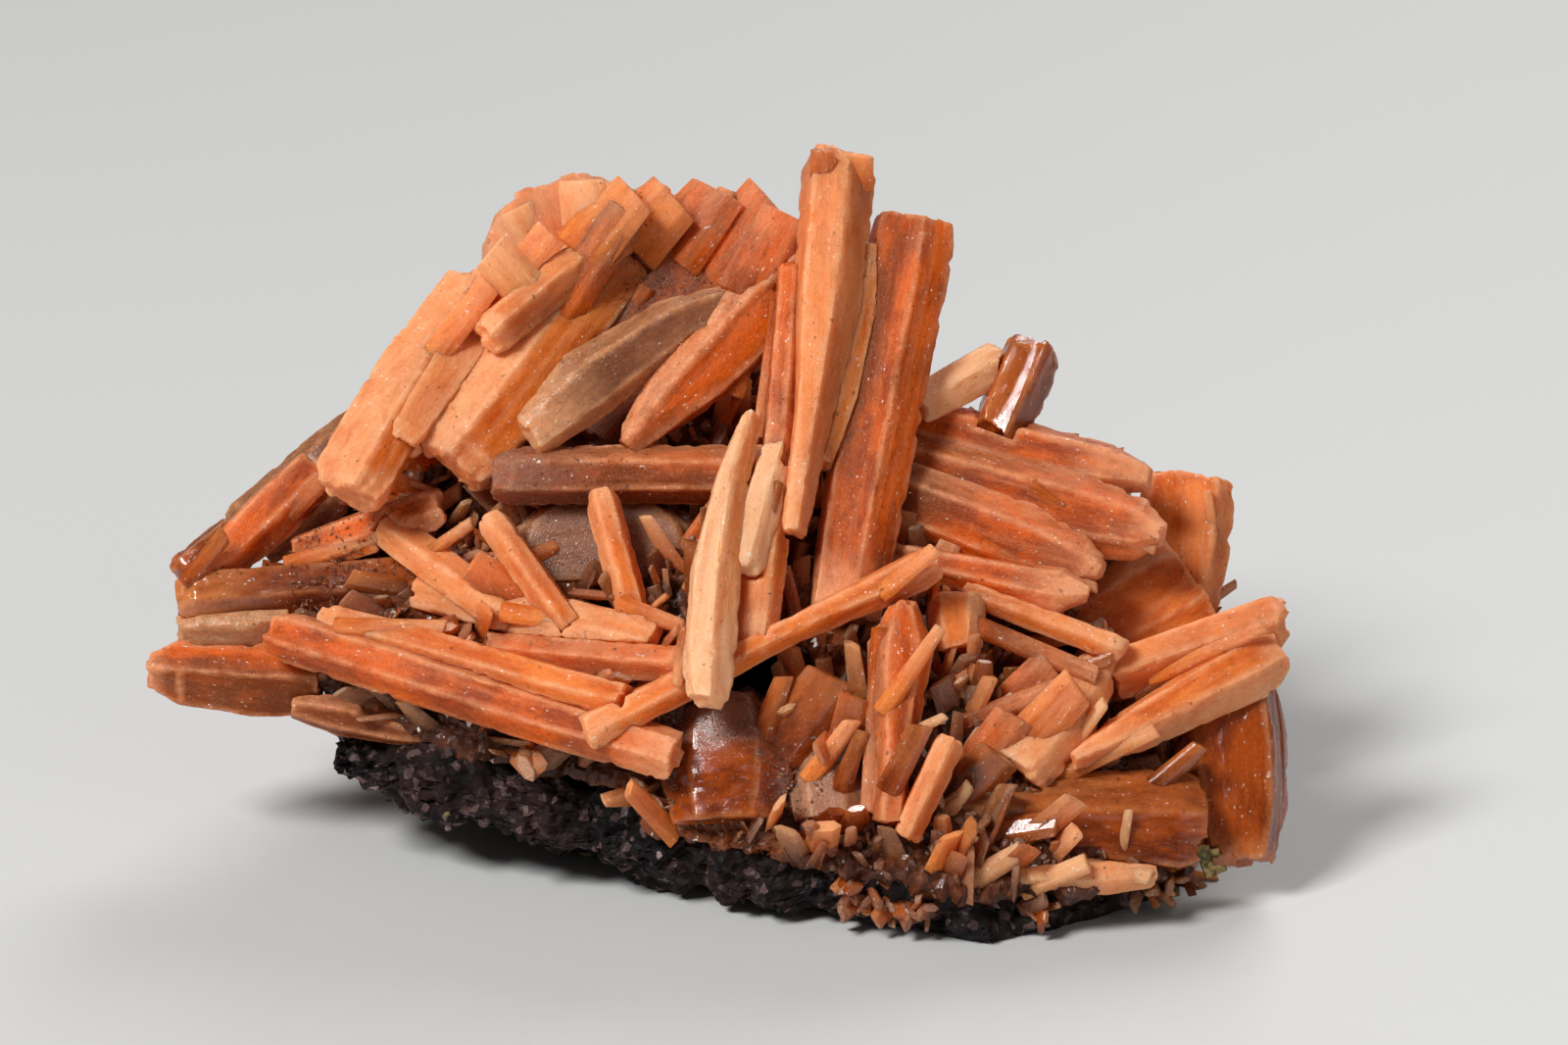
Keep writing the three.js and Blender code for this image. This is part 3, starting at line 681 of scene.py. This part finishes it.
# The plates stacked at the right, painted paler along their upper edges as painted light and darker
# brown below as painted shade, with a small dark red prism on top and two broad plates behind them.
grow_group({
    "red_prism": {"finish": "red"},
    "pale_ridge_lath": {"finish": "pale", "pale": {"all": 0.5}},
    "top_right_plate": {"finish": "orange", "pale": {"high": 0.9}},
    "second_right_plate": {
        "finish": "orange", "pale": {"high_end": 1.0, "high": 0.3}, "brown": {"low": 0.8}},
    "third_right_plate": {
        "finish": "orange", "pale": {"high_end": 1.0, "high": 0.4}, "brown": {"low": 1.0}},
    "low_right_plate": {"finish": "orange", "pale": {"high": 1.0}, "brown": {"low": 0.9}},
    "thin_right_lath": {"finish": "peach", "pale": {"high_end": 1.0}},
    "big_back_plate": {"finish": "peach", "pale": {"right": 0.4}},
    "low_back_plate": {"finish": "peach", "brown": {"low": 0.5}},
})

# The right end: a thick glossy dark prism, pale laths that point out over it, and a wet-looking
# red-brown crystal that lies below them.
grow_group({
    "dark_end_prism": {"finish": "red", "pale": {"low_end": 0.7}},
    "right_long_lath": {"finish": "peach", "pale": {"right_half": 0.8, "low": 0.6, "high_end": 0.6}},
    "right_upper_lath": {"finish": "peach", "pale": {"high_end": 0.6, "low": 0.3}},
    "right_broad_blade": {"finish": "peach", "pale": {"all": 0.6, "low": 0.9}},
    "glossy_crystal": {"finish": "red", "pale": {"low": 0.9, "left": 0.6}},
    "pale_bottom_blade": {"finish": "peach", "pale": {"all": 0.5, "right_half": 0.8}},
})

# The small crystals low in the middle, between the front laths and the rock.
grow_group({
    "red_centre_blade": {"finish": "orange", "pale": {"low": 0.3}},
    "upright_front_lath": {"finish": "peach", "pale": {"high": 0.6}},
    "block_crystal": {"finish": "peach", "pale": {"right": 0.8}},
    "druse_plate": {"finish": "red", "druse": {"left_half": 0.9, "high": 0.5}},
    "pale_low_plate": {"finish": "druse", "pale": {"all": 0.6}},
})

# The back of the specimen, with a few stout crystals that lie against the bed.
grow_group({
    "back_left_plate": {"finish": "smoky", "pale": {"high_end": 0.6}},
    "back_middle_plate": {"finish": "orange", "pale": {"high_end": 0.5}},
    "back_right_lath": {"finish": "peach", "pale": {"high_end": 0.6}},
    "back_low_blade": {"finish": "orange", "pale": {"high_end": 0.6}},
})


# Broad thin plates of the same barite, some of which close the top of the fan and others fill the
# middle. Each is placed in the view and is rooted in the crystal or the bed that is seen there.
SUNK_PLATE = 0.8
PLATE_THICKNESS = 0.34


def solid_tree(names):
    """A search tree of the outsides of some CAD nodes."""
    corners, faces = [], []
    for name in names:
        data = frame["nodes"][name].data
        start = len(corners)
        corners += [vertex.co.copy() for vertex in data.vertices]
        faces += [[start + corner for corner in face.vertices] for face in data.polygons]
    return BVHTree.FromPolygons(corners, faces)


everything = solid_tree(frame["nodes"])
# How far behind the middle of the view a root stands where nothing is seen at its pixel.
EMPTY_DEPTH = 2 * MM


def seen_at(x, y, depth=0.0):
    """The place seen at a pixel of the view, that far behind the picture plane."""
    scale = SENSOR / LENS / PICTURE_WIDTH * (EYE_DISTANCE + depth)
    return (VIEW_MIDDLE + RIGHT * ((x - PICTURE_MIDDLE[0]) * scale)
            + UP * ((PICTURE_MIDDLE[1] - y) * scale) - TOWARD * depth)


def surface_at(x, y):
    """The place on the CAD solids that is seen at a pixel, and its depth."""
    way = (seen_at(x, y) - EYE).normalized()
    place = everything.ray_cast(EYE, way)[0]
    if place is None:
        place = everything.find_nearest(seen_at(x, y, EMPTY_DEPTH))[0]
    return place, (VIEW_MIDDLE - place).dot(TOWARD)


def ends_seen(root_seen, tip_seen, lift):
    """The root on what is seen at its pixel, and the tip, that many mm nearer to the viewer."""
    root, depth = surface_at(*root_seen)
    return root, seen_at(*tip_seen, depth - lift * MM)


def new_cluster():
    """An empty shape whose corners keep a crystal's grain and zones."""
    shape = bmesh.new()
    shape.verts.layers.float_vector.new("grain")
    for layer in SKIN_LAYERS:
        shape.verts.layers.float.new(layer)
    return shape


SMALL_RIM = 0.25


def add_lath(shape, root, tip, out, width, thick, taper=0.8, pale=0.7, brown=0.0, druse=0.0, slope=0.6):
    """Adds a small six-sided lath with an end that slants by up to that slope, paler at its tip."""
    along = tip - root
    length = along.length
    along.normalize()
    out = (out - along * out.dot(along)).normalized()
    across = along.cross(out)
    turn = Matrix((out * thick, across * width, along * length)).transposed().to_4x4()
    turn.translation = (root + tip) / 2
    made = bmesh.ops.create_cone(
        shape, cap_ends=True, segments=6, radius1=0.5, radius2=0.5 * taper, depth=1, matrix=turn)["verts"]
    slant = random.uniform(-slope, slope)
    shift = Vector((random.uniform(0, 90), random.uniform(0, 90), random.uniform(0, 90)))
    layers = shape.verts.layers
    for vertex in made:
        offset = vertex.co - root
        if offset.dot(along) > 0.5 * length:
            vertex.co += along * offset.dot(across) * slant
            vertex[layers.float["pale"]] = pale
        place = Vector((offset.dot(along), offset.dot(across), offset.dot(out)))
        vertex[layers.float_vector["grain"]] = place / MM + shift
        vertex[layers.float["brown"]] = brown
        vertex[layers.float["druse"]] = druse
        vertex[layers.float["rim"]] = SMALL_RIM


def soften_and_rest(shape, width):
    """Cuts a narrow facet along every edge and keeps the shape above the cut of the rock."""
    bmesh.ops.bevel(
        shape, geom=shape.edges[:], offset=width, offset_type="OFFSET", affect="EDGES", segments=1,
        profile=0.5, material=-1, clamp_overlap=True)
    for vertex in shape.verts:
        vertex.co.z = max(vertex.co.z, CUT_LEVEL)


def finish_cluster(name, shape, finish, facet):
    """Makes a cluster of small crystals a piece, with facets that are that many mm wide."""
    soften_and_rest(shape, facet * MM)
    add_piece(name, shape, FINISHES[finish], faceted=True)


# Root and tip in the view, and in mm the width and how far the tip comes out to the viewer.
BROAD_PLATES = {
    "orange": [
        ((720, 290), (788, 207), 5.4, -1.2), ((760, 305), (804, 220), 4.4, -1.8),
        ((680, 260), (733, 195), 5.4, -1.0), ((842, 190), (839, 153), 2.2, 0.5),
        ((560, 330), (640, 215), 3.6, -1.4), ((735, 400), (770, 300), 3.4, -1.0),
        ((1020, 740), (1075, 680), 3.8, 0.2), ((985, 800), (1035, 730), 3.4, 0.3),
        ((545, 620), (480, 575), 2.6, 0.4),
    ],
    "peach": [
        ((640, 250), (688, 202), 5.0, -0.8), ((590, 260), (648, 197), 4.6, -1.0),
        ((874, 192), (878, 158), 2.4, 0.5), ((470, 350), (560, 235), 2.6, -1.2),
        ((430, 380), (500, 290), 2.2, -1.2), ((1040, 765), (1100, 700), 3.4, 0.2),
        ((960, 740), (1000, 680), 3.0, 0.3), ((420, 600), (520, 580), 3.4, 0.4),
    ],
    "pale": [
        ((560, 262), (528, 212), 3.4, -0.5), ((602, 240), (592, 184), 3.8, -0.5),
        ((540, 300), (500, 256), 3.2, -0.5), ((625, 245), (632, 190), 3.2, -0.7),
    ],
    "red": [
        ((790, 770), (850, 690), 4.0, 0.3), ((855, 790), (872, 710), 2.6, 0.3),
        ((960, 830), (1020, 770), 3.6, 0.4),
    ],
}
random.seed(12)
for finish, plates in BROAD_PLATES.items():
    cluster = new_cluster()
    for root_seen, tip_seen, width, lift in plates:
        root, tip = ends_seen(root_seen, tip_seen, lift)
        root = root - TOWARD * SUNK_PLATE * MM
        out = TOWARD + Vector((random.uniform(-0.3, 0.3), 0, random.uniform(-0.2, 0.3)))
        add_lath(cluster, root, tip, out, width * MM, PLATE_THICKNESS * width * MM,
                 taper=random.uniform(0.75, 0.95), pale=0.5, slope=0.25)
    finish_cluster(f"broad_{finish}_plates", cluster, finish, 0.10)


# Blades, needles, tabs and chips too small for solids of their own. They stand among the large
# crystals, rooted in whatever carries them, as the broad plates are.
SUNK_BLADE = 0.6
BLADE_THICKNESS = 0.62
# As for the broad plates: root and tip in the view, and in mm the width and the tip's lift.
SMALL_BLADES = {
    "orange": [
        ((791, 315), (773, 446), 0.9, 0.6), ((900, 650), (885, 828), 1.6, 1.0),
        ((803, 668), (874, 728), 1.7, 0.8), ((960, 745), (1085, 700), 1.5, 1.2),
        ((300, 520), (352, 470), 1.4, 1.0), ((700, 560), (760, 470), 1.5, 0.8),
        ((1010, 560), (1120, 600), 1.3, 1.0), ((1060, 500), (1180, 560), 1.5, 0.8),
        ((655, 300), (585, 400), 1.5, 1), ((1165, 705), (1240, 660), 1.0, 1.0),
        ((470, 565), (590, 590), 1.5, 0.8), ((1000, 640), (1120, 690), 1.5, 1),
    ],
    "peach": [
        ((572, 455), (640, 390), 1.1, 1.0), ((605, 455), (690, 372), 1.2, 1.2),
        ((443, 560), (482, 533), 1.0, 0.8), ((483, 565), (512, 548), 0.9, 0.8),
        ((697, 610), (705, 590), 1.0, 0.6), ((825, 600), (880, 560), 1.4, 1.0),
        ((905, 720), (960, 640), 1.5, 1.2), ((830, 790), (870, 735), 1.6, 1.0),
        ((300, 575), (395, 545), 1.5, 1.0), ((385, 560), (470, 500), 1.6, 1.4),
        ((520, 625), (640, 645), 1.5, 1.0), ((560, 560), (470, 600), 1.3, 1.2),
        ((640, 620), (700, 640), 1.6, 1.0), ((1040, 660), (1130, 640), 1.3, 1.2),
        ((1080, 790), (1180, 745), 1.8, 1.4), ((905, 600), (955, 560), 1.5, 1.0),
        ((1180, 690), (1290, 640), 1.3, 1.2), ((985, 745), (1010, 690), 1.4, 1.2),
        ((1240, 560), (1232, 500), 1.0, 0.5), ((350, 640), (455, 640), 1.5, 0.8),
        ((790, 500), (775, 560), 1.2, 0.8), ((700, 650), (690, 700), 1.3, 0.5),
    ],
    "pale": [
        ((945, 603), (988, 598), 1.2, 0.8), ((1145, 868), (1152, 826), 0.8, 0.8),
        ((985, 835), (1055, 872), 1.2, 0.6), ((975, 850), (1040, 884), 1.4, 1.2),
        ((930, 748), (965, 730), 1.0, 1.0), ((985, 742), (1003, 706), 1.0, 1.0),
        ((1002, 742), (1036, 712), 1.8, 1.0), ((1105, 745), (1128, 716), 1.2, 0.8),
        ((985, 765), (1000, 742), 0.7, 0.8), ((1215, 903), (1243, 896), 0.9, 0.5),
        ((940, 880), (975, 858), 1.6, 0.8), ((980, 905), (1040, 870), 1.8, 1.0),
        ((1050, 905), (1110, 880), 1.5, 1.0), ((1090, 880), (1175, 895), 1.3, 0.8),
        ((960, 840), (990, 800), 1.2, 1.0),
    ],
    "red": [
        ((1062, 700), (1135, 672), 1.6, 1.0), ((1130, 724), (1160, 708), 1.6, 0.6),
        ((415, 600), (355, 590), 1.6, 0.8), ((1010, 850), (1080, 840), 2.2, 1.0),
        ((910, 800), (940, 740), 1.8, 0.5), ((780, 745), (800, 690), 1.8, 0.4),
        ((860, 800), (880, 745), 1.6, 0.4), ((1180, 800), (1225, 760), 1.6, 0.8),
        ((195, 590), (230, 545), 1.4, 0.6),
    ],
}
random.seed(11)
for finish, blades in SMALL_BLADES.items():
    cluster = new_cluster()
    for root_seen, tip_seen, width, lift in blades:
        root, tip = ends_seen(root_seen, tip_seen, lift)
        root = root + (root - tip).normalized() * SUNK_BLADE * MM
        out = TOWARD + Vector((random.uniform(-0.4, 0.4), 0, random.uniform(-0.2, 0.6)))
        add_lath(cluster, root, tip, out, width * MM, BLADE_THICKNESS * width * MM,
                 taper=random.uniform(0.6, 0.95), brown=random.choice((0, 0, 0.5)))
    finish_cluster(f"small_{finish}_blades", cluster, finish, 0.09)


# The fine growth on the bed: short laths that follow the large ones beside them, and a druse of
# tablets and grains under a millimetre or two. They fill the hollows and cover the back.
crystal_names = [name for name in frame["nodes"] if name not in ("druse_bed", "matrix_rock")]
large_crystals = solid_tree(crystal_names)
leaders = []
for name in crystal_names:
    solid = merged_copy(name)
    middle = sum((vertex.co for vertex in solid.verts), Vector()) / len(solid.verts)
    leaders.append((middle, crystal_axes(solid)[0]))
    solid.free()

bed_solid = merged_copy("druse_bed")
bmesh.ops.triangulate(bed_solid, faces=bed_solid.faces[:])
MOST_OVERHANG = -0.45
bed_faces = [face for face in bed_solid.faces if face.normal.z > MOST_OVERHANG]
bed_areas = np.cumsum([face.calc_area() for face in bed_faces])


def random_root(faces, areas):
    """An even random place on some faces with those summed areas, and the way that it faces."""
    face = faces[int(np.searchsorted(areas, random.uniform(0, areas[-1])))]
    first, second = sorted((random.random(), random.random()))
    corners = [vertex.co for vertex in face.verts]
    place = corners[0] * first + corners[1] * (second - first) + corners[2] * (1 - second)
    return place, face.normal.copy()


# Below this height the small crystals turn upwards. The rest says how long, wide and sunk they are,
# the share of the way to a large crystal that they may take, and the least that they stand up.
LOWEST_DRUSE = 7 * MM
SHORTEST = 0.5 * MM
WIDEST = 2.2 * MM
SUNK = 0.5 * MM
CLEAR_SHARE = 0.92
LEAST_RISE = 0.15


def random_way():
    """A random direction, even all round."""
    return Vector((random.gauss(0, 1), random.gauss(0, 1), random.gauss(0, 1))).normalized()


def grow_druse(name, finish, count, lengths, slimness, follow, lean, seed):
    """Covers the bed with that many small crystals, cut short where a large one is in their way."""
    random.seed(seed)
    cluster = new_cluster()
    for _ in range(count):
        root, normal = random_root(bed_faces, bed_areas)
        _, leader = min(leaders, key=lambda one: (one[0] - root).length_squared)
        if leader.dot(normal) < 0:
            leader = -leader
        way = (leader * follow + normal + random_way() * lean).normalized()
        if way.dot(normal) < LEAST_RISE:
            way = (way + normal * 0.6).normalized()
        if way.z < -0.1 or root.z < LOWEST_DRUSE:
            way = (way + Vector((0, 0, 1.0 - way.z))).normalized()
        length = random.uniform(*lengths) * MM
        hit = large_crystals.ray_cast(root, way, length)[3]
        if hit is not None:
            length = hit * CLEAR_SHARE
        if length < SHORTEST:
            continue
        width = min(length * random.uniform(*slimness), WIDEST)
        add_lath(cluster, root - way * SUNK, root + way * (length + BED_SWELL * MM), random_way(), width,
                 width * random.uniform(0.22, 0.5), taper=random.uniform(0.5, 0.95),
                 pale=random.uniform(0.2, 1.0), brown=random.choice((0, 0, 0.8)),
                 druse=random.choice((0, 0, 0.6)))
    finish_cluster(name, cluster, finish, 0.05)


# Lengths in mm, widths as shares of the length, and how much each follows the large crystals.
LATHS = {"lengths": (1.6, 4.4), "follow": 1.2}
PLATES = {"lengths": (1.5, 3.5), "slimness": (0.6, 1.2), "follow": 0.8, "lean": 0.7}
GRAINS = {"follow": 0.2}
grow_druse("short_peach_laths", "peach", 300, slimness=(0.40, 0.95), lean=0.5, seed=21, **LATHS)
grow_druse("short_orange_laths", "orange", 380, slimness=(0.45, 1.0), lean=0.6, seed=22, **LATHS)
grow_druse("short_smoky_plates", "smoky", 200, seed=23, **PLATES)
grow_druse("short_red_plates", "red", 260, seed=26, **PLATES)
grow_druse("druse_tablets", "druse", 1300, (0.6, 1.7), (0.7, 1.5), lean=1.0, seed=24, **GRAINS)
grow_druse("druse_grains", "orange", 500, (0.5, 1.1), (0.6, 1.2), lean=1.1, seed=25, **GRAINS)
bed_solid.free()


# Patches of the same fine crystals on the rock: they reach down its right side and its back,
# thicker towards the bed, and leave most of its front bare.
rock_solid = merged_copy("matrix_rock")
bmesh.ops.triangulate(rock_solid, faces=rock_solid.faces[:])
rock_faces = [face for face in rock_solid.faces if abs(face.normal.z) < 0.9]
rock_areas = np.cumsum([face.calc_area() for face in rock_faces])
PATCH_SIZE = 5 * MM
LOWEST_PATCH = 1.5 * MM
# The noise that a grain needs to stay, on the bare front and elsewhere, and less for each mm up.
FRONT_LIMIT = 0.90
OTHER_LIMIT = 0.05
LIMIT_DROP = 0.015
FRONT_NORMAL = 0.2
FRONT_RIGHT = 6 * MM
SUNK_GRAIN = 0.6 * MM
ROCK_SWELL = 0.5 * MM
# The finish, the number of tries, the sizes in mm and the seed of each kind of patch.
PATCHES = (("druse", 2600, (0.5, 1.3), 51), ("red", 900, (0.6, 1.6), 52), ("peach", 500, (0.5, 1.2), 53))
for finish, tries, sizes, seed in PATCHES:
    random.seed(seed)
    cluster = new_cluster()
    for _ in range(tries):
        root, normal = random_root(rock_faces, rock_areas)
        in_front = normal.y < FRONT_NORMAL and root.x < FRONT_RIGHT
        limit = (FRONT_LIMIT if in_front else OTHER_LIMIT) - LIMIT_DROP * root.z / MM
        if root.z < LOWEST_PATCH or fractal(root, PATCH_SIZE) < limit:
            continue
        size = random.uniform(*sizes) * MM
        way = (normal + 0.7 * random_way()).normalized()
        add_lath(cluster, root - way * SUNK_GRAIN, root + way * (ROCK_SWELL + size), random_way(),
                 1.1 * size, 0.5 * size, pale=random.uniform(0.0, 0.8), druse=random.choice((0, 0.5)))
    finish_cluster(f"rock_{finish}_patches", cluster, finish, 0.04)
rock_solid.free()


# The crust: grains of barite, a fraction of a millimetre, that coat the hollow faces of some
# plates and the feet of the fan like sugar, and pale lumps along the rim of the bed.
SUNK_CRUST = 0.2 * MM


def grow_crust(name, finish, nodes, middle, reach, count, sizes, seed):
    """Sets grains on the seen faces of some crystals, within a reach of a place in the view."""
    random.seed(seed)
    x, y = middle
    carriers = solid_tree(nodes)
    cluster = new_cluster()
    for _ in range(count):
        turn, spread = random.uniform(0, 2 * math.pi), reach * math.sqrt(random.random())
        target = seen_at(x + spread * math.cos(turn), y + spread * math.sin(turn))
        place, normal, _, _ = carriers.ray_cast(EYE, (target - EYE).normalized())
        if place is None:
            continue
        size = random.uniform(*sizes) * MM
        way = (normal + 0.8 * random_way()).normalized()
        add_lath(cluster, place - way * SUNK_CRUST, place + way * (SWELL * MM + size), random_way(),
                 1.2 * size, 0.8 * size, taper=0.7, pale=random.uniform(0.0, 0.8),
                 druse=random.choice((0, 0.7)))
    finish_cluster(name, cluster, finish, 0.03)


FAN_PLATES = ["fan_inner_plate", "fan_third_lath", "druse_bed"]
FAN_BLADES = ["smoky_blade", "orange_blade"]
FOOT_PLATES = ["druse_plate", "druse_bed", "pale_low_plate"]
LEFT_CRYSTALS = ["left_broken_crystal", "left_inner_blade"]
grow_crust("fan_crust", "smoky", FAN_PLATES,
           middle=(650, 310), reach=80, count=600, sizes=(0.06, 0.16), seed=41)
grow_crust("fan_sparkle", "pale", FAN_PLATES + FAN_BLADES,
           middle=(660, 320), reach=95, count=110, sizes=(0.06, 0.16), seed=47)
grow_crust("shelf_crust", "smoky", ["shelf_plate", "arched_plate"],
           middle=(600, 505), reach=70, count=240, sizes=(0.06, 0.16), seed=43)
grow_crust("foot_crust", "smoky", FOOT_PLATES,
           middle=(760, 790), reach=85, count=600, sizes=(0.06, 0.20), seed=44)
grow_crust("left_crust", "smoky", LEFT_CRYSTALS,
           middle=(370, 590), reach=75, count=420, sizes=(0.08, 0.20), seed=45)
grow_crust("rim_crust", "druse", ["druse_bed"],
           middle=(960, 870), reach=140, count=700, sizes=(0.25, 0.7), seed=46)


# Pyrite: a few cubes of brassy iron sulphide with a dark tarnish, about a millimetre wide. They grew
# on the foot of the rock at the right, each sunk in it up to its middle.
def pyrite():
    material, tree, shader = new_material("dark_pyrite", {"Metallic": 0.85})
    place = node(tree, "ShaderNodeTexCoord").outputs["Object"]
    tarnish = ramp(tree, grain_noise(tree, place, 1500), 0.4, 0.6)
    connect(tree, shader, {
        "Base Color": mix(tree, tarnish, (0.46, 0.33, 0.13, 1), (0.10, 0.080, 0.038, 1)),
        "Roughness": ramp(tree, tarnish, 0, 1, 0.22, 0.5)})
    return material


# Where each is seen in the view, and its width in mm.
PYRITE_SPOTS = (
    (1236, 878, 1.5), (1232, 886, 1.1), (1228, 870, 0.8), (1205, 908, 1.3), (1216, 905, 1.1),
    (1196, 906, 0.9), (1240, 868, 0.7))
PYRITE_FACET = 0.08 * MM
random.seed(31)
cubes = bmesh.new()
for x, y, width in PYRITE_SPOTS:
    turn = random_way().to_track_quat("Z", "Y").to_matrix().to_4x4()
    turn.translation = surface_at(x, y)[0]
    bmesh.ops.create_cube(cubes, size=width * MM, matrix=turn)
soften_and_rest(cubes, PYRITE_FACET)
add_piece("pyrite_cubes", cubes, pyrite(), faceted=True)
